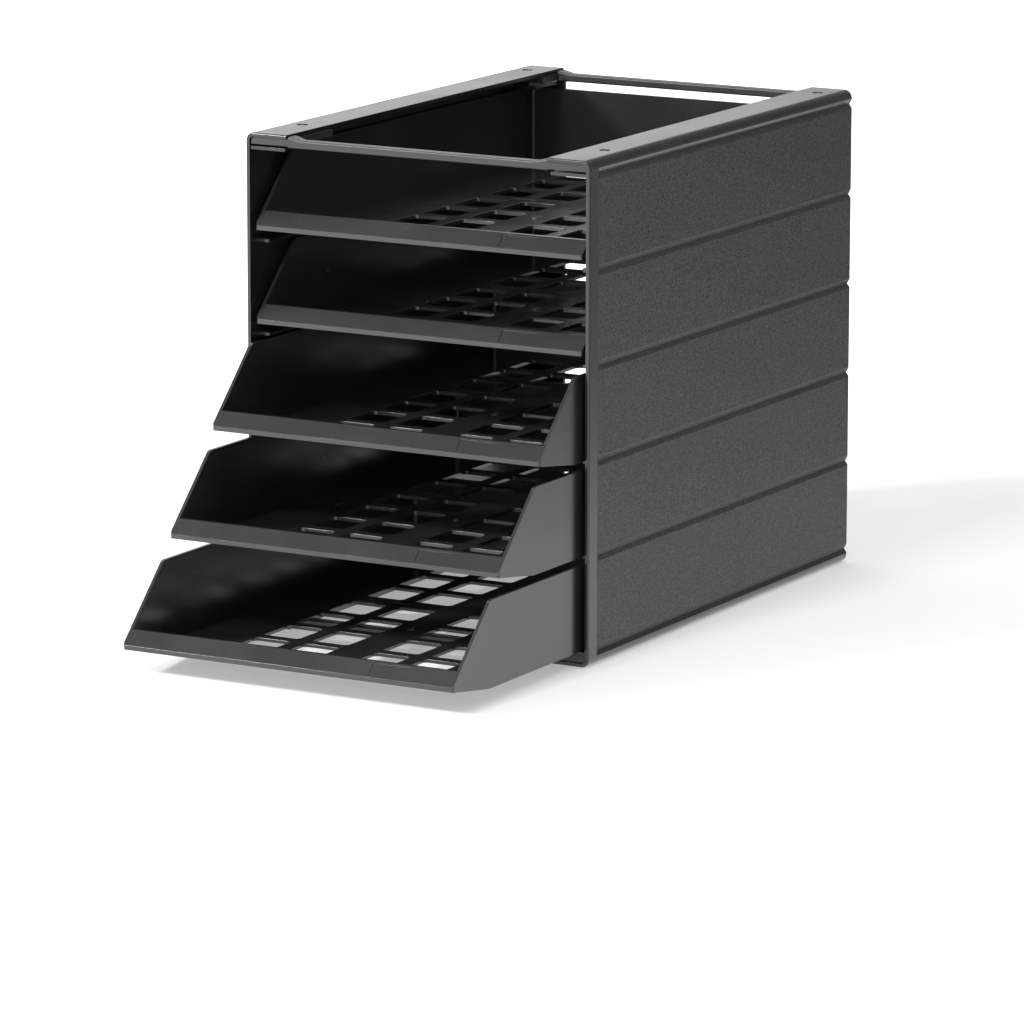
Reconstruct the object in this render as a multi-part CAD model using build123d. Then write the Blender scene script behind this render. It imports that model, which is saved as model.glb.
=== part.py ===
from build123d import *
import os

# Desk letter stack: two moulded side walls, four snap-in crossbars and five open letter trays.
# Millimetres. +X is the right-hand side seen from the front, -Y is the front, +Z is up.
# The origin is the middle of the rectangle that the housing covers on the desk.

# --- the letter tray -------------------------------------------------------------------------
TRAY_COUNT = 5
TRAY_WIDTH = 238.0
TRAY_LENGTH = 360.0
TRAY_HEIGHT = 55.5
TRAY_WALL = 2.2
TRAY_FLOOR = 2.4
TRAY_REAR_RADIUS = 5.0
TRAY_FRONT_RADIUS = 2.0
TRAY_BROW_RADIUS = 6.0
TRAY_TRAVEL = 270.0
TRAY_DRAWN_OUT = (0.0, 0.0, 54.0, 105.0, 161.0)

# the front lip: a short upright face, then a face that leans back to a crest
LIP_BASE = 6.6
LIP_FACE = 3.0
LIP_CREST = 18.0
LIP_SKIN = 2.2
LIP_CREST_WIDTH = 2.8
SKI_LENGTH = 45.0
INDEX_FIELD_START = 58.6
INDEX_FIELD_WIDTH = 26.0
INDEX_FIELD_DEPTH = 0.4
INDEX_FIELD_MARGIN = 1.0

# windows in the tray floor, in two groups with a plain band between them
WINDOW_WIDTH = 26.5
WINDOW_LENGTH = 32.0
WINDOW_RADIUS = 3.0
WINDOW_BAR = 8.2
WINDOW_COLUMN_BAR = 9.5
WINDOW_SPINE = 25.0
WINDOW_COLUMNS_A_SIDE = 2
WINDOW_FRONT_MARGIN = 55.0
WINDOW_COUNTS = (4, 3)
WINDOW_BAND = 17.4

# moulding details on the tray floor
SLOT_WIDTH = 15.0
SLOT_LENGTH = 3.0
GATE_BOSS_RADIUS = 4.5
GATE_BOSS_WALL = 0.8
GATE_BOSS_HEIGHT = 0.5
GATE_PIP_RADIUS = 0.8
GATE_PIP_HEIGHT = 1.0
GATE_FROM_FRONT = 156.0

# stop lugs on the tray's flanks, and the stops that they meet on the side walls
LUG_PROUD = 2.0
LUG_LENGTH = 3.0
LUG_LIFT = 6.0
LUG_HEIGHT = 8.0
STOP_PROUD = 2.2
STOP_LENGTH = 3.0
STOP_SETBACK = 10.0

# --- the housing -----------------------------------------------------------------------------
SIDE_GAP = 3.2
WALL = 2.8
TRAY_FRONT_SETBACK = 1.0
TRAY_REAR_SETBACK = 4.0
TRAY_SPACING = 5.15
RAIL_WIDTH = 30.0
RAIL_THICKNESS = 2.6
RAIL_CORNER = 5.5
END_EDGE_ROUND = 1.2

REAR_FLANGE_WIDTH = 32.0
REAR_FLANGE_THICKNESS = 2.6

GROOVE_DEPTH = 2.1
GROOVE_DROP = 1.0
GROOVE_ABOVE = 3.9
GROOVE_BELOW = 2.8
GROOVE_FLOOR = 0.5
GROOVE_FRONT_BORDER = 11.4
GATE_MARK_RADIUS = 1.5
GATE_MARK_DEPTH = 0.4

RUNNER_DEPTH = 8.2
RUNNER_THICKNESS = 2.2
RUNNER_FRONT_SETBACK = 9.5
RUNNER_REAR_SETBACK = 4.0
RUNNER_NOSE_RADIUS = 2.0
RUNNING_GAP = 0.3

# --- the crossbars ---------------------------------------------------------------------------
PLATE_THICKNESS = 4.4
PLATE_SEAT_GAP = 0.3
PLATE_END_GAP = 0.6
PLATE_MARGIN = 9.0
PLATE_EDGE_ROUND = 2.6
PLATE_FRONT_SETBACK = 1.0
POCKET_SHELF_THICKNESS = 2.2
TOP_POCKET_GAP = 1.7
BOTTOM_POCKET_GAP = 0.55
POCKET_SHELF_WIDTH = 28.5
POCKET_SHELF_EXTRA = 4.0
BAR_DEPTH = 8.0
BAR_HEIGHT = 5.3
BAR_DROP = 3.0
BAR_ROUND = 1.2
COLLAR_LENGTH = 10.0
COLLAR_SEAT = 2.0
COLLAR_DEPTH = 10.0
COLLAR_HEIGHT = 7.2
COLLAR_DROP = 1.2
SNAP_HOLE_RADIUS = 3.6
SNAP_HOLE_INSET = 14.5
SNAP_HOLE_FROM_FRONT = 45.7
SNAP_HOLE_FROM_BACK = 23.4
BLADE_WIDTH = 1.4
BLADE_LENGTH = 6.2
BLADE_SINK = 0.1

# --- sizes that follow -----------------------------------------------------------------------
HOUSING_WIDTH = TRAY_WIDTH + 2 * (SIDE_GAP + WALL)
HOUSING_DEPTH = TRAY_FRONT_SETBACK + TRAY_LENGTH + TRAY_REAR_SETBACK
TRAY_PITCH = TRAY_HEIGHT + TRAY_SPACING
LOWEST_SHELF = RAIL_THICKNESS + PLATE_THICKNESS + BOTTOM_POCKET_GAP + POCKET_SHELF_THICKNESS + RUNNING_GAP
RAIL_HEAD = TOP_POCKET_GAP + PLATE_THICKNESS + RAIL_THICKNESS
HOUSING_HEIGHT = LOWEST_SHELF + TRAY_COUNT * TRAY_PITCH + RAIL_HEAD
FRONT = -HOUSING_DEPTH / 2
BACK = HOUSING_DEPTH / 2
SIDE = HOUSING_WIDTH / 2
INNER_SIDE = SIDE - WALL
SHELVES = [LOWEST_SHELF + step * TRAY_PITCH for step in range(TRAY_COUNT + 1)]
SLANT_START = LIP_BASE + LIP_FACE
CREST_FRONT = LIP_CREST - SLANT_START
CREST_BACK = CREST_FRONT + LIP_CREST_WIDTH
COLLAR_CLEAR = COLLAR_DROP + COLLAR_HEIGHT + PLATE_END_GAP
# the lip leans at 45 degrees, so a length along it spans this many times its rise
SLANT_STRETCH = 2 ** 0.5
# how deep the parts on a wall's inner face are rooted in the wall
ROOT = WALL / 4
CUT_OVER = 1.0
ON_FACE = 0.01


def box_between(low, high):
    """A box with its lowest and highest corners."""
    size = [b - a for a, b in zip(low, high)]
    middle = [(a + b) / 2 for a, b in zip(low, high)]
    return Pos(*middle) * Box(*size)


def across(points, half_width):
    """A prism that runs across X, with its section given as (y, z) points."""
    face = make_face(Polyline(*[(0, y, z) for y, z in points], close=True))
    return extrude(face, amount=half_width, dir=(1, 0, 0), both=True)


def along(points, y_front, y_back):
    """A prism that runs along Y, with its section given as (x, z) points."""
    face = make_face(Polyline(*[(x, y_front, z) for x, z in points], close=True))
    return extrude(face, amount=y_back - y_front, dir=(0, 1, 0))


def plan_block(half_width, y_front, y_back, front_radius, rear_radius, z_low, z_high):
    """An upright block whose four corners are rounded, with one radius in front and one behind."""
    block = box_between((-half_width, y_front, z_low), (half_width, y_back, z_high))
    uprights = block.edges().filter_by(Axis.Z).sort_by(Axis.Y)
    block = fillet(uprights[:2], front_radius)
    uprights = block.edges().filter_by(Axis.Z).filter_by(lambda e: e.center().Y > y_back - ON_FACE)
    return fillet(uprights, rear_radius)


def ski_height(y):
    """Height of the tray's underside at a distance behind the lip."""
    return LIP_BASE * max(0.0, 1 - y / SKI_LENGTH)


def window_rows():
    """The distance behind the lip of each window's near edge."""
    rows, near = [], WINDOW_FRONT_MARGIN
    for count in WINDOW_COUNTS:
        for _ in range(count):
            rows.append(near)
            near += WINDOW_LENGTH + WINDOW_BAR
        near += WINDOW_BAND - WINDOW_BAR
    return rows


def window_columns():
    """The middle of each window, across the tray."""
    first = (WINDOW_SPINE + WINDOW_WIDTH) / 2
    step = WINDOW_WIDTH + WINDOW_COLUMN_BAR
    right = [first + n * step for n in range(WINDOW_COLUMNS_A_SIDE)]
    return [-x for x in right] + right


def floor_openings():
    """Everything that pierces the tray floor: the windows and the two slots in the plain band."""
    depth = TRAY_FLOOR + 2 * CUT_OVER
    cuts = []
    for near in window_rows():
        for x in window_columns():
            pane = RectangleRounded(WINDOW_WIDTH, WINDOW_LENGTH, WINDOW_RADIUS)
            cuts.append(Pos(x, near + WINDOW_LENGTH / 2, -CUT_OVER) * extrude(pane, depth))
    band_middle = window_rows()[WINDOW_COUNTS[0]] - WINDOW_BAND / 2
    slot_x = (WINDOW_SPINE + WINDOW_COLUMN_BAR) / 2 + WINDOW_WIDTH
    for side in (-1, 1):
        slot = Pos(side * slot_x, band_middle, TRAY_FLOOR / 2) * Box(SLOT_WIDTH, SLOT_LENGTH, depth)
        cuts.append(slot)
    return cuts


def tray_shell():
    """The tray's walls and floor, before its openings."""
    half = TRAY_WIDTH / 2
    brow = TRAY_HEIGHT - SLANT_START
    profile = [(0, LIP_BASE), (0, SLANT_START), (brow, TRAY_HEIGHT), (TRAY_LENGTH, TRAY_HEIGHT),
               (TRAY_LENGTH, 0), (SKI_LENGTH, 0)]
    outer = across(profile, half)
    top_front = outer.edges().filter_by(Axis.X).sort_by_distance((0, brow, TRAY_HEIGHT))[:1]
    outer = fillet(top_front, TRAY_BROW_RADIUS)
    outer &= plan_block(half, 0, TRAY_LENGTH, TRAY_FRONT_RADIUS, TRAY_REAR_RADIUS,
                        -CUT_OVER, TRAY_HEIGHT + CUT_OVER)

    inner_half = half - TRAY_WALL
    inner_back = TRAY_LENGTH - TRAY_WALL
    over = TRAY_HEIGHT + CUT_OVER
    hollow = across([(-CUT_OVER, LIP_CREST), (CREST_BACK, LIP_CREST),
                     (CREST_BACK, ski_height(CREST_BACK) + TRAY_FLOOR), (SKI_LENGTH, TRAY_FLOOR),
                     (inner_back, TRAY_FLOOR), (inner_back, over), (-CUT_OVER, over)], inner_half)
    inner_radius = TRAY_REAR_RADIUS - TRAY_WALL
    hollow &= plan_block(inner_half, -2 * CUT_OVER, inner_back, CUT_OVER / 2, inner_radius,
                         0, over + CUT_OVER)
    return outer - hollow


def lip_grip():
    """The hollow behind the leaning face of the lip, where fingers pull from below."""
    inner_half = TRAY_WIDTH / 2 - TRAY_WALL
    lean_shift = LIP_SKIN * SLANT_STRETCH
    back = CREST_BACK - LIP_SKIN
    below = LIP_BASE - 2 * CUT_OVER
    section = [(LIP_SKIN, below), (LIP_SKIN, SLANT_START + LIP_SKIN - lean_shift),
               (back, SLANT_START + back - lean_shift), (back, below)]
    return across(section, inner_half)


def index_field():
    """The shallow field on the leaning face of the lip, near its right end."""
    near, far = INDEX_FIELD_MARGIN, CREST_FRONT - INDEX_FIELD_MARGIN
    sink = INDEX_FIELD_DEPTH / SLANT_STRETCH
    section = [(near - CUT_OVER, SLANT_START + near + CUT_OVER), (near + sink, SLANT_START + near - sink),
               (far + sink, SLANT_START + far - sink), (far - CUT_OVER, SLANT_START + far + CUT_OVER)]
    field = across(section, INDEX_FIELD_WIDTH / 2)
    return Pos(INDEX_FIELD_START + INDEX_FIELD_WIDTH / 2, 0, 0) * field


def lug_from_front():
    """How far behind the lip the stop lugs start, so that they meet the stops at full travel."""
    return STOP_SETBACK + STOP_LENGTH - TRAY_FRONT_SETBACK + TRAY_TRAVEL + RUNNING_GAP


def gate_boss():
    """The low ring and pip on the floor where the plastic was let into the mould."""
    boss = Cylinder(GATE_BOSS_RADIUS, GATE_BOSS_HEIGHT)
    dish = Pos(0, 0, GATE_BOSS_HEIGHT / 2) * Cylinder(GATE_BOSS_RADIUS - GATE_BOSS_WALL, GATE_BOSS_HEIGHT)
    pip = Pos(0, 0, (GATE_PIP_HEIGHT - GATE_BOSS_HEIGHT) / 2) * Cylinder(GATE_PIP_RADIUS, GATE_PIP_HEIGHT)
    return Pos(0, GATE_FROM_FRONT, TRAY_FLOOR + GATE_BOSS_HEIGHT / 2) * (boss - dish + pip)


def make_tray():
    """One letter tray, with its lip at Y = 0 and its underside at Z = 0."""
    tray = tray_shell() - lip_grip() - index_field() - floor_openings()
    tray += gate_boss()
    half = TRAY_WIDTH / 2
    start = lug_from_front()
    for side in (-1, 1):
        near, far = sorted((side * (half - TRAY_WALL / 2), side * (half + LUG_PROUD)))
        tray += box_between((near, start, LUG_LIFT), (far, start + LUG_LENGTH, LUG_LIFT + LUG_HEIGHT))
    return tray


def wall_section():
    """The C-shaped section of the right side wall, as a face in the XZ plane at the front."""
    rail_edge = SIDE - RAIL_WIDTH
    outer = Pos((rail_edge + SIDE) / 2, HOUSING_HEIGHT / 2) * Rectangle(RAIL_WIDTH, HOUSING_HEIGHT)
    outer = fillet(outer.vertices().group_by(Axis.X)[-1], RAIL_CORNER)
    inner_low, inner_high = RAIL_THICKNESS, HOUSING_HEIGHT - RAIL_THICKNESS
    inner_left = rail_edge - CUT_OVER
    inner = Pos((inner_left + INNER_SIDE) / 2, HOUSING_HEIGHT / 2) * Rectangle(
        INNER_SIDE - inner_left, inner_high - inner_low)
    inner = fillet(inner.vertices().group_by(Axis.X)[-1], RAIL_CORNER - WALL)
    return outer - inner


def groove(level):
    """The cut for one groove in the outer face, from the plain front border to the back edge."""
    deepest = level - GROOVE_DROP
    floor = GROOVE_FLOOR / 2
    stretch = 1 + CUT_OVER / GROOVE_DEPTH
    above = floor + (GROOVE_ABOVE - floor) * stretch
    below = floor + (GROOVE_BELOW - floor) * stretch
    points = [(SIDE + CUT_OVER, deepest - below), (SIDE - GROOVE_DEPTH, deepest - floor),
              (SIDE - GROOVE_DEPTH, deepest + floor), (SIDE + CUT_OVER, deepest + above)]
    return along(points, FRONT + GROOVE_FRONT_BORDER, BACK + CUT_OVER)


def runner(level, thickness):
    """One runner on the inner face, with a rounded nose in front."""
    top = level - RUNNING_GAP
    low = (INNER_SIDE - RUNNER_DEPTH, FRONT + RUNNER_FRONT_SETBACK, top - thickness)
    bar = box_between(low, (INNER_SIDE + ROOT, BACK - RUNNER_REAR_SETBACK, top))
    nose = bar.edges().filter_by(Axis.Z).sort_by_distance(low)[:1]
    return fillet(nose, RUNNER_NOSE_RADIUS)


def plate_length(at_front):
    """Length along Y of a crossbar's end plate: past its snap hole by a margin."""
    inset = SNAP_HOLE_FROM_FRONT if at_front else SNAP_HOLE_FROM_BACK
    return inset - PLATE_FRONT_SETBACK + PLATE_MARGIN


def pocket_shelf(at_front, top):
    """The shelf under one crossbar end plate, as part of the right side wall."""
    length = plate_length(at_front) + POCKET_SHELF_EXTRA
    outer_y = FRONT + PLATE_FRONT_SETBACK if at_front else BACK - PLATE_FRONT_SETBACK
    y_low, y_high = sorted((outer_y, outer_y + length if at_front else outer_y - length))
    low = (SIDE - POCKET_SHELF_WIDTH, y_low, top - POCKET_SHELF_THICKNESS)
    return box_between(low, (INNER_SIDE + ROOT, y_high, top))


def snap_hole_places():
    """Where the snap holes go through the right rails: (x, y)."""
    x = SIDE - SNAP_HOLE_INSET
    return [(x, FRONT + SNAP_HOLE_FROM_FRONT), (x, BACK - SNAP_HOLE_FROM_BACK)]


def rear_flange():
    """The upright flange behind the trays, between the two rear crossbars' collars."""
    low = (SIDE - REAR_FLANGE_WIDTH, BACK - REAR_FLANGE_THICKNESS, COLLAR_CLEAR)
    return box_between(low, (INNER_SIDE + ROOT, BACK, HOUSING_HEIGHT - COLLAR_CLEAR))


def wall_shell():
    """The right wall's skin and rails, with the outer edges of both ends rounded."""
    section = Plane(origin=(0, BACK, 0), x_dir=(1, 0, 0), z_dir=(0, -1, 0)) * wall_section()
    shell = extrude(section, amount=HOUSING_DEPTH, dir=(0, -1, 0))
    middle = HOUSING_HEIGHT / 2
    end_edges = shell.edges().filter_by(lambda e: abs(e.center().Y) > BACK - ON_FACE)
    outer_edges = end_edges.filter_by(
        lambda e: e.center().X > INNER_SIDE + ON_FACE or abs(e.center().Z - middle) > middle - ON_FACE)
    return fillet(outer_edges, END_EDGE_ROUND)


def make_right_wall():
    """The right side wall with its rails, rear flange, runners, pockets, grooves and stops."""
    wall = wall_shell() + rear_flange()
    wall -= [groove(level) for level in SHELVES]
    for level in SHELVES[:-1]:
        thickness = POCKET_SHELF_THICKNESS if level == LOWEST_SHELF else RUNNER_THICKNESS
        wall += runner(level, thickness)
        stop_low = (INNER_SIDE - STOP_PROUD, FRONT + STOP_SETBACK, level + LUG_LIFT)
        wall += box_between(stop_low, (INNER_SIDE + ROOT, FRONT + STOP_SETBACK + STOP_LENGTH,
                                       level + LUG_LIFT + LUG_HEIGHT))
    for at_front in (True, False):
        wall += pocket_shelf(at_front, SHELVES[-1])
        wall += pocket_shelf(at_front, SHELVES[0] - RUNNING_GAP)

    drill = Cylinder(SNAP_HOLE_RADIUS, RAIL_THICKNESS + CUT_OVER)
    for x, y in snap_hole_places():
        wall -= Pos(x, y, HOUSING_HEIGHT - (RAIL_THICKNESS - CUT_OVER) / 2) * drill
        wall -= Pos(x, y, (RAIL_THICKNESS - CUT_OVER) / 2) * drill
    mark = Rot(0, 90, 0) * Cylinder(GATE_MARK_RADIUS, 2 * GATE_MARK_DEPTH)
    return wall - Pos(SIDE, 0, HOUSING_HEIGHT / 2) * mark


def bar_section(x, y, z, depth, height):
    """The rounded section of a crossbar, as a face that looks along X."""
    plane = Plane(origin=(x, y, z), x_dir=(0, 1, 0), z_dir=(1, 0, 0))
    return plane * RectangleRounded(depth, height, BAR_ROUND)


def bar_and_collar(face, inward, collar_end):
    """Half of a top crossbar's bar, with the collar that it flares out to."""
    bar_end = SIDE - RAIL_WIDTH - COLLAR_LENGTH
    bar_middle = HOUSING_HEIGHT - BAR_DROP - BAR_HEIGHT / 2
    collar_middle = HOUSING_HEIGHT - COLLAR_DROP - COLLAR_HEIGHT / 2
    start = bar_section(0, face + inward * BAR_DEPTH / 2, bar_middle, BAR_DEPTH, BAR_HEIGHT)
    small = Pos(bar_end, 0, 0) * start
    large = bar_section(collar_end, face + inward * COLLAR_DEPTH / 2, collar_middle,
                        COLLAR_DEPTH, COLLAR_HEIGHT)
    seat = extrude(large, amount=COLLAR_SEAT - PLATE_END_GAP, dir=(1, 0, 0))
    return extrude(start, amount=bar_end, dir=(1, 0, 0)) + loft([small, large]) + seat


def end_plate(face, inward, collar_end, at_front):
    """The plate that slides into the rail's pocket, with the blade that snaps into the rail's hole."""
    top = HOUSING_HEIGHT - RAIL_THICKNESS - PLATE_SEAT_GAP
    y_low, y_high = sorted((face, face + inward * plate_length(at_front)))
    plate = box_between((collar_end, y_low, top - PLATE_THICKNESS), (INNER_SIDE - PLATE_END_GAP, y_high, top))
    outer_top = plate.edges().filter_by(Axis.Y).sort_by_distance((INNER_SIDE, 0, top))[:1]
    plate = fillet(outer_top, PLATE_EDGE_ROUND)
    x, y = snap_hole_places()[0 if at_front else 1]
    blade_height = HOUSING_HEIGHT - BLADE_SINK - top
    blade = Pos(x, y, top + blade_height / 2) * Box(BLADE_WIDTH, BLADE_LENGTH, blade_height)
    return plate + blade


def crossbar_half(at_front):
    """The right half of a top crossbar: half its bar, a flared collar, an end plate and a snap blade."""
    inward = 1 if at_front else -1
    face = (FRONT if at_front else BACK) + inward * PLATE_FRONT_SETBACK
    collar_end = SIDE - RAIL_WIDTH - COLLAR_SEAT
    return bar_and_collar(face, inward, collar_end) + end_plate(face, inward, collar_end, at_front)


def make_top_crossbar(at_front):
    """A whole top crossbar, front or rear."""
    half = crossbar_half(at_front)
    return half + mirror(half, about=Plane.YZ)


def upside_down(shape):
    """The same piece at the bottom of the housing."""
    return mirror(shape, about=Plane(origin=(0, 0, HOUSING_HEIGHT / 2), z_dir=(0, 0, 1)))


def write(shape, name):
    """Write one node; a piece made of one solid is written as that solid."""
    solids = shape.solids()
    whole = solids[0] if len(solids) == 1 else Compound(children=list(solids))
    export_step(whole, f"parts/{name}.step")


def main():
    os.makedirs("parts", exist_ok=True)
    right_wall = make_right_wall()
    write(right_wall, "right_side_wall")
    write(mirror(right_wall, about=Plane.YZ), "left_side_wall")
    for name, at_front in (("front", True), ("rear", False)):
        bar = make_top_crossbar(at_front)
        write(bar, f"top_{name}_crossbar")
        write(upside_down(bar), f"bottom_{name}_crossbar")
    tray = make_tray()
    closed = FRONT + TRAY_FRONT_SETBACK
    for index, drawn_out in enumerate(TRAY_DRAWN_OUT):
        level = SHELVES[TRAY_COUNT - 1 - index]
        write(Pos(0, closed - drawn_out, level) * tray, f"letter_tray_{index + 1}")


main()
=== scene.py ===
"""Dressed model of a black desk letter stack: a two-sided housing with five pull-out trays."""

from __future__ import annotations

import logging
import math
from dataclasses import dataclass
from enum import Enum
from typing import Callable, Iterable, Sequence

import bmesh
import bpy
from mathutils import Matrix, Vector


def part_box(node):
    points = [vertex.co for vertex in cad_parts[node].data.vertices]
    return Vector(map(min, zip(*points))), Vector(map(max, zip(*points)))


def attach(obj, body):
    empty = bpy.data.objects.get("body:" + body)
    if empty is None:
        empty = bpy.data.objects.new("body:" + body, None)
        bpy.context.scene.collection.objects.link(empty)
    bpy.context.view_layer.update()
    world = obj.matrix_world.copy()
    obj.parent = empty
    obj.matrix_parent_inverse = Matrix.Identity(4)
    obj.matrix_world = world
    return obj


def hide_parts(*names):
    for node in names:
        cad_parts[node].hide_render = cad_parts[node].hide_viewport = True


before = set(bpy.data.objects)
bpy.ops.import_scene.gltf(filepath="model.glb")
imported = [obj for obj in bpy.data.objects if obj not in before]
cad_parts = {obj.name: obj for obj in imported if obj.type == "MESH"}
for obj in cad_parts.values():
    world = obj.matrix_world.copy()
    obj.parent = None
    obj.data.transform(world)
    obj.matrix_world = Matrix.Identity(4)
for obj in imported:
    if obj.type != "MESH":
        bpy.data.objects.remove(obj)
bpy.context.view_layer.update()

LOG = logging.getLogger("letter_stack")
MM = 0.001
PLASTIC_IOR = 1.58
WHITE = (1.0, 1.0, 1.0, 1.0)
Colour = tuple[float, float, float]
Triple = tuple[float, float, float]


# --- shader arithmetic -----------------------------------------------------------------------


class Wire:
    """A node socket that takes part in Python arithmetic."""

    def __init__(self, sheet: "NodeSheet", socket: bpy.types.NodeSocket) -> None:
        """Keep the socket and the sheet of nodes that it belongs to."""
        self.sheet = sheet
        self.socket = socket

    def __add__(self, other: "Wire | float") -> "Wire":
        """Sum."""
        return self.sheet.math("ADD", self, other)

    def __mul__(self, other: "Wire | float") -> "Wire":
        """Product."""
        return self.sheet.math("MULTIPLY", self, other)

    def magnitude(self) -> "Wire":
        """This value without its sign."""
        return self.sheet.math("ABSOLUTE", self)

    def ramp(self, low: float, high: float, at_low: float = 0.0, at_high: float = 1.0) -> "Wire":
        """A smooth step between two values.

        Args:
            low: Input at which the step starts.
            high: Input at which the step ends.
            at_low: Result up to the start.
            at_high: Result from the end on.

        Returns:
            The stepped value.
        """
        settings = {"interpolation_type": "SMOOTHSTEP"}
        sockets = {"Value": self, "From Min": low, "From Max": high, "To Min": at_low, "To Max": at_high}
        return self.sheet.node("ShaderNodeMapRange", settings, sockets)


class NodeSheet:
    """The node tree of one material or world."""

    def __init__(self, tree: bpy.types.NodeTree) -> None:
        """Start from an empty tree."""
        self.tree = tree
        tree.nodes.clear()

    def node(self, kind: str, settings: dict | None = None, sockets: dict | None = None,
             output: str | int = 0) -> Wire:
        """Add a node of any type.

        Args:
            kind: The node's type name.
            settings: Attributes that are set before the sockets.
            sockets: Values or wires for the inputs, by name or by place.
            output: Which output the returned wire reads.

        Returns:
            A wire on the chosen output.
        """
        made = self.tree.nodes.new(kind)
        for name, value in (settings or {}).items():
            setattr(made, name, value)
        for name, value in (sockets or {}).items():
            target = made.inputs[name]
            if isinstance(value, Wire):
                self.tree.links.new(value.socket, target)
            else:
                target.default_value = value
        return Wire(self, made.outputs[output])

    def math(self, operation: str, *values: Wire | float) -> Wire:
        """Add a Math node."""
        return self.node("ShaderNodeMath", {"operation": operation}, dict(enumerate(values)))

    def place(self, scale: Triple = (1.0, 1.0, 1.0)) -> Wire:
        """Object coordinates, stretched along the axes by a scale."""
        where = self.node("ShaderNodeTexCoord", output="Object")
        if scale == (1.0, 1.0, 1.0):
            return where
        return self.node("ShaderNodeMapping", None, {"Vector": where, "Scale": scale})

    def axes(self) -> tuple[Wire, ...]:
        """The X, Y and Z of the object coordinates."""
        where = self.place()
        return tuple(self.node("ShaderNodeSeparateXYZ", None, {"Vector": where}, output=axis) for axis in "XYZ")

    def noise(self, size: float, detail: float = 2.0, where: Wire | None = None) -> Wire:
        """Cloudy noise whose blotches have a given size in metres."""
        sockets = {"Vector": where or self.place(), "Scale": 1.0 / size, "Detail": detail}
        return self.node("ShaderNodeTexNoise", None, sockets)

    def colour_mix(self, factor: Wire, low: Colour, high: Colour) -> Wire:
        """A colour between two others."""
        settings = {"data_type": "RGBA"}
        return self.node("ShaderNodeMix", settings, {0: factor, 6: (*low, 1.0), 7: (*high, 1.0)}, output=2)

    def bump(self, height: Wire, depth: float) -> Wire:
        """A normal bent by a height."""
        return self.node("ShaderNodeBump", None, {"Distance": depth, "Height": height})

    def light_path(self, output: str) -> Wire:
        """One on rays of a kind and zero on the others."""
        return self.node("ShaderNodeLightPath", output=output)

    def plastic(self, colour: Wire, roughness: Wire, normal: Wire) -> None:
        """Send a plain plastic surface to the tree's output."""
        sockets = {"Base Color": colour, "Roughness": roughness, "Normal": normal, "IOR": PLASTIC_IOR}
        self.surface(self.node("ShaderNodeBsdfPrincipled", None, sockets))

    def surface(self, shader: Wire, kind: str = "ShaderNodeOutputMaterial") -> None:
        """Send a shader to the tree's output."""
        out = self.tree.nodes.new(kind)
        self.tree.links.new(shader.socket, out.inputs["Surface"])


# --- finishes --------------------------------------------------------------------------------


class Texture(Enum):
    """How the mould's steel was finished, with the share of long waves that it leaves."""

    POLISHED = 2.0
    SPARKED = 1.0


@dataclass(frozen=True)
class Patches:
    """Cloudy patches: their size, their detail and the noise levels between which they show."""

    size: float
    detail: float
    start: float
    full: float
    stretch: Triple = (1.0, 1.0, 1.0)

    def wire(self, sheet: NodeSheet) -> Wire:
        """Zero off the patches and one on them."""
        return sheet.noise(self.size, self.detail, sheet.place(self.stretch)).ramp(self.start, self.full)


@dataclass(frozen=True)
class MouldedBlack:
    """Black injection-moulded plastic, with flow blotches, dust and handling marks."""

    name: str
    colour: Colour
    dust: Colour
    roughness: float
    grain_size: float
    grain_depth: float
    texture: Texture
    blotches: Patches = Patches(60.0 * MM, 2.0, 0.35, 0.70)
    smears: Patches = Patches(12.0 * MM, 3.0, 0.45, 0.75, (1.0, 0.25, 1.0))
    specks: Patches = Patches(1.1 * MM, 1.0, 0.74, 0.80)
    wave_size: float = 20.0 * MM
    wave_share: float = 0.35

    def material(self) -> bpy.types.Material:
        """Build the material.

        Returns:
            The finished material.
        """
        made = bpy.data.materials.new(self.name)
        made.use_nodes = True
        sheet = NodeSheet(made.node_tree)
        blotch, smear, speck = (patches.wire(sheet) for patches in (self.blotches, self.smears, self.specks))
        colour = sheet.colour_mix(blotch * 0.30 + speck * 0.08 + smear * 0.04, self.colour, self.dust)
        rough = blotch * 0.05 + smear * 0.03 + self.roughness
        wave = sheet.noise(self.wave_size, 1.0) * self.wave_share
        height = sheet.noise(self.grain_size) + wave * self.texture.value
        sheet.plastic(colour, rough, sheet.bump(height, self.grain_depth))
        return made


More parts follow.
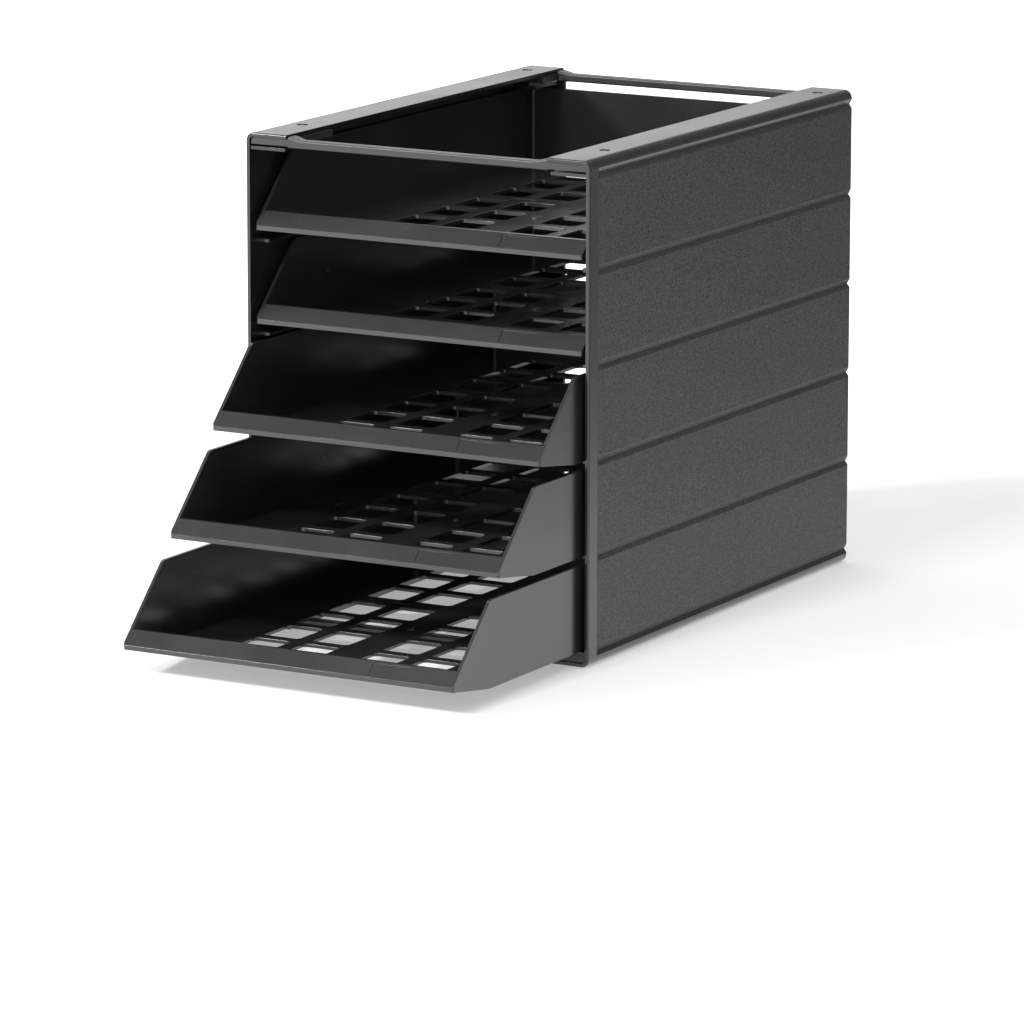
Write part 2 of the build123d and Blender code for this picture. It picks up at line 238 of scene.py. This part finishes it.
@dataclass(frozen=True)
class GrainedWall(MouldedBlack):
    """The side wall's black: sparked grain on the panels, smooth rails and front border."""

    blotches: Patches = Patches(70.0 * MM, 2.0, 0.35, 0.70)
    specks: Patches = Patches(1.3 * MM, 1.0, 0.75, 0.80)
    wall: str = "right_side_wall"
    border: float = 11.4 * MM
    groove_reach: float = 2.5 * MM
    foot: float = 9.05 * MM
    head: float = 9.7 * MM
    edge: float = 0.15 * MM
    spark_size: float = 1.1 * MM
    spark_depth: float = 0.6
    spark_start: float = 0.40
    spark_full: float = 0.66

    def panel_mask(self, sheet: NodeSheet) -> Wire:
        """One on the grained panels and zero on the smooth rails and border.

        Args:
            sheet: The material's nodes.

        Returns:
            The mask.
        """
        low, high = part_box(self.wall)
        face = high.x - self.groove_reach
        front = low.y + self.border
        bottom = low.z + self.foot
        top = high.z - self.head
        x, y, z = sheet.axes()
        outside = x.magnitude().ramp(face - self.edge, face)
        behind = y.ramp(front - self.edge, front)
        above = z.ramp(bottom - self.edge, bottom)
        below = z.ramp(top, top + self.edge, 1.0, 0.0)
        return outside * behind * above * below

    def material(self) -> bpy.types.Material:
        """Build the material.

        Returns:
            The finished material.
        """
        made = bpy.data.materials.new(self.name)
        made.use_nodes = True
        sheet = NodeSheet(made.node_tree)
        panel = self.panel_mask(sheet)
        blotch, dusty = (patches.wire(sheet) for patches in (self.blotches, self.specks))
        spark = sheet.noise(self.spark_size)
        pale = spark.ramp(self.spark_start, self.spark_full) * panel
        colour = sheet.colour_mix(blotch * 0.10 + pale * 0.9 + dusty * 0.1, self.colour, self.dust)
        rough = panel * 0.32 + blotch * 0.04 + self.roughness
        fine = sheet.noise(self.grain_size) * (self.grain_depth / MM)
        height = spark * panel * self.spark_depth + fine
        sheet.plastic(colour, rough, sheet.bump(height, MM))
        return made


@dataclass(frozen=True)
class WhiteSweep:
    """The matt white paper of the floor and backdrop, which looks pure white away from shadows; its colour holds
    painted shade far behind to the right, and it carries a painted glow that only reflections see.
    """

    name: str = "white_paper"
    colour: Colour = (0.80, 0.80, 0.80)
    # Painted shade: the paper's colour far behind to the right, darker to stand in for light falling off there.
    shaded: Colour = (0.30, 0.30, 0.30)
    lift: float = 0.36
    far_lift: float = 1.0
    lift_start: float = 0.40
    lift_end: float = 0.95
    # Painted light: glow strengths that only reflections see, bright in front, dim far behind and weaker up the
    # backdrop.
    front_glow: float = 0.80
    far_glow: float = 0.20
    wall_glow: float = 0.50
    wall_start: float = 0.1
    wall_end: float = 0.6
    near_edge: float = 0.10
    far_edge: float = 1.0
    aside: float = 0.85
    behind: float = 0.50
    fibre_size: float = 2.0 * MM
    fibre_share: float = 0.06

    def material(self) -> bpy.types.Material:
        """Build the material: glossy surfaces see a painted glow, bright in front and dim far behind to the right, and
        the paper's colour is painted darker far behind to the right.

        Returns:
            The finished material.
        """
        made = bpy.data.materials.new(self.name)
        made.use_nodes = True
        sheet = NodeSheet(made.node_tree)
        across, deep, height = sheet.axes()
        far_right = across * self.aside + deep * self.behind
        fibres = sheet.noise(self.fibre_size) * self.fibre_share
        # Painted shade: the paper darkens far behind to the right, with real paper fibres added on top.
        painted_shade_and_fibres = far_right.ramp(self.near_edge, self.far_edge) + fibres
        paper = sheet.node("ShaderNodeBsdfDiffuse", None, {"Color": sheet.colour_mix(painted_shade_and_fibres, self.colour, self.shaded)})
        # Painted light: a glow that only glossy rays see, bright in front, dim far behind to the right and weaker up
        # the backdrop.
        wall_share = height.ramp(self.wall_start, self.wall_end, 1.0, self.wall_glow)
        glow = far_right.ramp(self.near_edge, self.far_edge, self.front_glow, self.far_glow) * wall_share
        reach = sheet.node("ShaderNodeVectorMath", {"operation": "LENGTH"}, {0: sheet.place()}, output="Value")
        lift = reach.ramp(self.lift_start, self.lift_end, self.lift, self.far_lift)
        strength = sheet.light_path("Is Camera Ray") * lift + sheet.light_path("Is Glossy Ray") * glow
        light = sheet.node("ShaderNodeEmission", None, {"Color": WHITE, "Strength": strength})
        sheet.surface(sheet.node("ShaderNodeAddShader", None, {0: paper, 1: light}))
        return made


TRAY_FINISH = MouldedBlack("tray_black_polished", (0.0210, 0.0213, 0.0220), (0.036, 0.036, 0.038),
                           roughness=0.20, grain_size=0.7 * MM, grain_depth=0.004 * MM, texture=Texture.POLISHED)
HOUSING_FINISH = GrainedWall("housing_black_sparked", (0.0090, 0.0090, 0.0094), (0.080, 0.080, 0.082),
                             roughness=0.24, grain_size=1.1 * MM, grain_depth=0.02 * MM, texture=Texture.SPARKED)
CROSSBAR_FINISH = MouldedBlack("crossbar_black_satin", (0.0190, 0.0190, 0.0200), (0.036, 0.036, 0.038),
                               roughness=0.36, grain_size=1.0 * MM, grain_depth=0.04 * MM, texture=Texture.SPARKED)


# --- pieces ----------------------------------------------------------------------------------


def middle_of(edge: bmesh.types.BMEdge) -> Vector:
    """The point halfway along an edge."""
    return (edge.verts[0].co + edge.verts[1].co) / 2


@dataclass
class Moulding:
    """One moulded piece: the node's shape with its edges broken by a small radius."""

    node: str
    body: str
    slot: str
    finish: MouldedBlack
    edge_radius: float = 0.45 * MM
    sharp_angle: float = math.radians(28)
    flat_angle: float = math.radians(0.5)
    weld: float = 0.02 * MM
    segments: int = 2
    fine_share: float = 0.25
    flat_weight: int = 80

    def build(self, materials: dict[str, bpy.types.Material]) -> bpy.types.Object:
        """Make the piece and put it on its body.

        Args:
            materials: Finished materials by name.

        Returns:
            The new object.
        """
        shape = bmesh.new()
        shape.from_mesh(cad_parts[self.node].data)
        bmesh.ops.remove_doubles(shape, verts=shape.verts, dist=self.weld)
        bmesh.ops.dissolve_limit(shape, angle_limit=self.flat_angle, verts=shape.verts, edges=shape.edges,
                                 use_dissolve_boundaries=False)
        self.break_edges(shape)
        mesh = bpy.data.meshes.new(self.node + "_dressed")
        bmesh.ops.triangulate(shape, faces=[f for f in shape.faces if len(f.verts) > 4])
        shape.to_mesh(mesh)
        shape.free()
        mesh.materials.append(materials[self.finish.name])
        piece = bpy.data.objects.new(self.node + "_moulding", mesh)
        bpy.context.scene.collection.objects.link(piece)
        self.smooth(piece)
        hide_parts(self.node)
        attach(piece, self.body)
        LOG.info("%s: %d faces on body %s", piece.name, len(mesh.polygons), self.body)
        return piece

    def fine_test(self) -> Callable[[bmesh.types.BMEdge], bool]:
        """The test for edges of details too small for the full radius: plain pieces have none."""
        return lambda edge: False

    def round_off(self, shape: bmesh.types.BMesh, edges: list[bmesh.types.BMEdge], radius: float,
                  segments: int, clamp: bool) -> None:
        """Round some edges.

        Args:
            shape: The shape that the edges belong to.
            edges: The edges.
            radius: How far from each edge the rounding starts.
            segments: Faces across the rounding.
            clamp: Whether the radius is held back where edges lie close together.
        """
        bmesh.ops.bevel(shape, geom=edges, offset=radius, offset_type="OFFSET", segments=segments,
                        profile=0.5, affect="EDGES", clamp_overlap=clamp, material=-1)

    def break_edges(self, shape: bmesh.types.BMesh) -> None:
        """Round every sharp edge, with a smaller radius on the fine details."""
        is_fine = self.fine_test()
        for fine, radius in ((True, self.edge_radius * self.fine_share), (False, self.edge_radius)):
            sharp = [e for e in shape.edges if len(e.link_faces) == 2
                     and e.calc_face_angle(0.0) > self.sharp_angle and is_fine(e) == fine]
            self.round_off(shape, sharp, radius, self.segments, clamp=True)

    def smooth(self, piece: bpy.types.Object) -> None:
        """Shade the piece smooth, with flat faces kept flat."""
        for polygon in piece.data.polygons:
            polygon.use_smooth = True
        weighted = piece.modifiers.new("flat_faces", "WEIGHTED_NORMAL")
        weighted.keep_sharp = True
        weighted.weight = self.flat_weight


@dataclass
class TrayMoulding(Moulding):
    """A letter tray: its windows' rims are rounded first, and its gate boss and index field stay fine."""

    edge_radius: float = 0.8 * MM
    boss_from_front: float = 156.0 * MM
    boss_reach: float = 6.0 * MM
    field_start: float = 57.0 * MM
    field_end: float = 86.0 * MM
    field_depth: float = 14.0 * MM
    rim_radius: float = 0.5 * MM
    rim_segments: int = 4
    floor_height: float = 6.0 * MM
    floor_half_width: float = 112.0 * MM
    upward: float = 0.99
    upright: float = 0.3

    def fine_test(self) -> Callable[[bmesh.types.BMEdge], bool]:
        """The test for edges of the gate boss and of the index field on the lip.

        Returns:
            A function that says whether an edge is fine.
        """
        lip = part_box(self.node)[0].y

        def is_fine(edge: bmesh.types.BMEdge) -> bool:
            """Whether the middle of an edge lies in one of the two details."""
            middle = middle_of(edge)
            behind_lip = middle.y - lip
            on_boss = math.hypot(middle.x, behind_lip - self.boss_from_front) < self.boss_reach
            in_field = self.field_start < middle.x < self.field_end and behind_lip < self.field_depth
            return on_boss or in_field

        return is_fine

    def rim_test(self) -> Callable[[bmesh.types.BMEdge], bool]:
        """The test for edges of the windows' upper rims.

        Returns:
            A function that says whether an edge is on a rim.
        """
        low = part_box(self.node)[0]
        is_fine = self.fine_test()

        def is_rim(edge: bmesh.types.BMEdge) -> bool:
            """Whether a convex edge of the floor joins its top to an upright wall."""
            if len(edge.link_faces) != 2 or not edge.is_convex or is_fine(edge):
                return False
            middle = middle_of(edge)
            rises = [face.normal.z for face in edge.link_faces]
            in_floor = middle.z < low.z + self.floor_height and abs(middle.x) < self.floor_half_width
            turns_down = max(rises) > self.upward and min(abs(rise) for rise in rises) < self.upright
            return turns_down and in_floor and middle.y > low.y + self.field_depth

        return is_rim

    def break_edges(self, shape: bmesh.types.BMesh) -> None:
        """Round the upper rims of the floor's windows, and then every other sharp edge."""
        shape.normal_update()
        is_rim = self.rim_test()
        rims = [edge for edge in shape.edges if is_rim(edge)]
        self.round_off(shape, rims, self.rim_radius, self.rim_segments, clamp=False)
        super().break_edges(shape)


@dataclass
class Housing:
    """Two side walls and the crossbars that tie them."""

    walls: tuple[str, ...] = ("left_side_wall", "right_side_wall")
    crossbars: tuple[str, ...] = ("top_front_crossbar", "top_rear_crossbar", "bottom_front_crossbar",
                                  "bottom_rear_crossbar")
    body: str = "housing"
    slot: str = "housing_plastic"
    crossbar_radius: float = 0.3 * MM

    def build(self, materials: dict[str, bpy.types.Material]) -> list[bpy.types.Object]:
        """Make the walls and the crossbars.

        Args:
            materials: Finished materials by name.

        Returns:
            The new objects.
        """
        pieces = [Moulding(node, self.body, self.slot, HOUSING_FINISH) for node in self.walls]
        pieces += [Moulding(node, self.body, self.slot, CROSSBAR_FINISH, self.crossbar_radius)
                   for node in self.crossbars]
        return [piece.build(materials) for piece in pieces]


@dataclass
class TrayStack:
    """The five letter trays."""

    count: int = 5
    slot: str = "tray_plastic"

    def build(self, materials: dict[str, bpy.types.Material]) -> list[bpy.types.Object]:
        """Make the trays.

        Args:
            materials: Finished materials by name.

        Returns:
            The new objects.
        """
        return [TrayMoulding(f"letter_tray_{n}", f"tray_{n}", self.slot, TRAY_FINISH).build(materials)
                for n in range(1, self.count + 1)]


# --- studio ----------------------------------------------------------------------------------


@dataclass(frozen=True)
class Softbox:
    """An evenly lit panel: where it hangs, the point it faces, its width and height, and its power."""

    name: str
    place: Triple
    aim: Triple
    size: tuple[float, float]
    watts: float

    def hang(self) -> None:
        """Put the softbox into the scene."""
        data = bpy.data.lights.new(self.name, "AREA")
        data.shape = "RECTANGLE"
        data.size, data.size_y = self.size
        data.energy = self.watts
        lamp = bpy.data.objects.new(self.name, data)
        bpy.context.scene.collection.objects.link(lamp)
        lamp.location = self.place
        lamp.rotation_euler = (Vector(self.aim) - Vector(self.place)).to_track_quat("-Z", "Y").to_euler()


SOFTBOXES = (
    Softbox("key_softbox", (-0.15, -2.55, 2.15), (0.0, -0.2, 0.1), (0.45, 0.45), 36.0),
    Softbox("front_top_softbox", (-0.6, -1.85, 2.6), (-0.6, -1.84, 0.0), (2.2, 0.9), 8.0),
    Softbox("left_softbox", (-1.62, -2.15, 1.62), (0.0, -0.1, 0.15), (0.36, 0.36), 70.0),
    Softbox("front_fill", (0.5, -3.1, 0.9), (0.0, -0.1, 0.15), (1.6, 1.1), 12.0),
    Softbox("ceiling_sheet", (0.0, 1.0, 3.4), (0.0, 0.9, 0.0), (5.0, 2.6), 48.0),
)


@dataclass
class Studio:
    """White sweep, softboxes and camera."""

    yaw: float = math.radians(29.341)
    pitch: float = math.radians(11.802)
    roll: float = math.radians(-0.072)
    focal_px: float = 6370.8
    centre: Triple = (1.9934, -3.6043, 0.9151)
    frame_px: float = 1024.0
    sensor: float = 36.0
    nearest: float = 0.1
    farthest: float = 50.0
    sweep_half_width: float = 6.0
    sweep_front: float = -6.0
    sweep_back: float = 3.2
    sweep_height: float = 4.0
    sweep_radius: float = 1.2
    sweep_segments: int = 24
    room_light: float = 0.40
    room_seen: float = 0.60

    def camera(self) -> None:
        """Set up the camera at the photograph's viewing angle."""
        data = bpy.data.cameras.new("camera")
        data.sensor_width = self.sensor
        data.sensor_fit = "HORIZONTAL"
        data.lens = self.focal_px / self.frame_px * self.sensor
        data.clip_start = self.nearest
        data.clip_end = self.farthest
        camera = bpy.data.objects.new("camera", data)
        bpy.context.scene.collection.objects.link(camera)
        turn = (Matrix.Rotation(self.yaw, 4, "Z") @ Matrix.Rotation(math.pi / 2 - self.pitch, 4, "X")
                @ Matrix.Rotation(-self.roll, 4, "Z"))
        camera.matrix_world = Matrix.Translation(Vector(self.centre)) @ turn
        bpy.context.scene.camera = camera

    def sweep_path(self) -> list[tuple[float, float]]:
        """The sweep's section, as depths and heights from its front edge to its top."""
        bend = self.sweep_back - self.sweep_radius
        path = [(self.sweep_front, 0.0), (bend, 0.0)]
        for step in range(1, self.sweep_segments + 1):
            angle = step / self.sweep_segments * math.pi / 2
            path.append((bend + self.sweep_radius * math.sin(angle), self.sweep_radius * (1 - math.cos(angle))))
        return path + [(self.sweep_back, self.sweep_height)]

    def sweep(self) -> None:
        """Make the floor that curves up into a backdrop."""
        shape = bmesh.new()
        left = [shape.verts.new((-self.sweep_half_width, depth, height)) for depth, height in self.sweep_path()]
        edges = [shape.edges.new(pair) for pair in zip(left, left[1:])]
        grown = bmesh.ops.extrude_edge_only(shape, edges=edges)["geom"]
        moved = [g for g in grown if isinstance(g, bmesh.types.BMVert)]
        bmesh.ops.translate(shape, verts=moved, vec=(2 * self.sweep_half_width, 0, 0))
        bmesh.ops.recalc_face_normals(shape, faces=shape.faces)
        bmesh.ops.transform(shape, matrix=Matrix.Rotation(self.yaw, 4, "Z"), verts=shape.verts)
        mesh = bpy.data.meshes.new("white_sweep")
        shape.to_mesh(mesh)
        shape.free()
        for polygon in mesh.polygons:
            polygon.use_smooth = True
        mesh.materials.append(WhiteSweep().material())
        sweep = bpy.data.objects.new("white_sweep", mesh)
        bpy.context.scene.collection.objects.link(sweep)

    def room(self) -> None:
        """Give the world a plain level of light, and show it white to the camera."""
        world = bpy.data.worlds.new("studio_room")
        bpy.context.scene.world = world
        world.use_nodes = True
        sheet = NodeSheet(world.node_tree)
        strength = sheet.light_path("Is Camera Ray") * self.room_seen + self.room_light
        back = sheet.node("ShaderNodeBackground", None, {"Color": WHITE, "Strength": strength})
        sheet.surface(back, "ShaderNodeOutputWorld")

    def build(self) -> None:
        """Put the whole studio up."""
        self.camera()
        self.sweep()
        for softbox in SOFTBOXES:
            softbox.hang()
        self.room()
        bpy.context.scene.view_settings.view_transform = "Standard"


def main() -> None:
    """Build the studio and the letter stack."""
    logging.basicConfig(level=logging.INFO, format="%(message)s")
    Studio().build()
    materials = {finish.name: finish.material() for finish in (TRAY_FINISH, HOUSING_FINISH, CROSSBAR_FINISH)}
    pieces = Housing().build(materials) + TrayStack().build(materials)
    LOG.info("%d pieces", len(pieces))


if __name__ == "__main__":
    main()
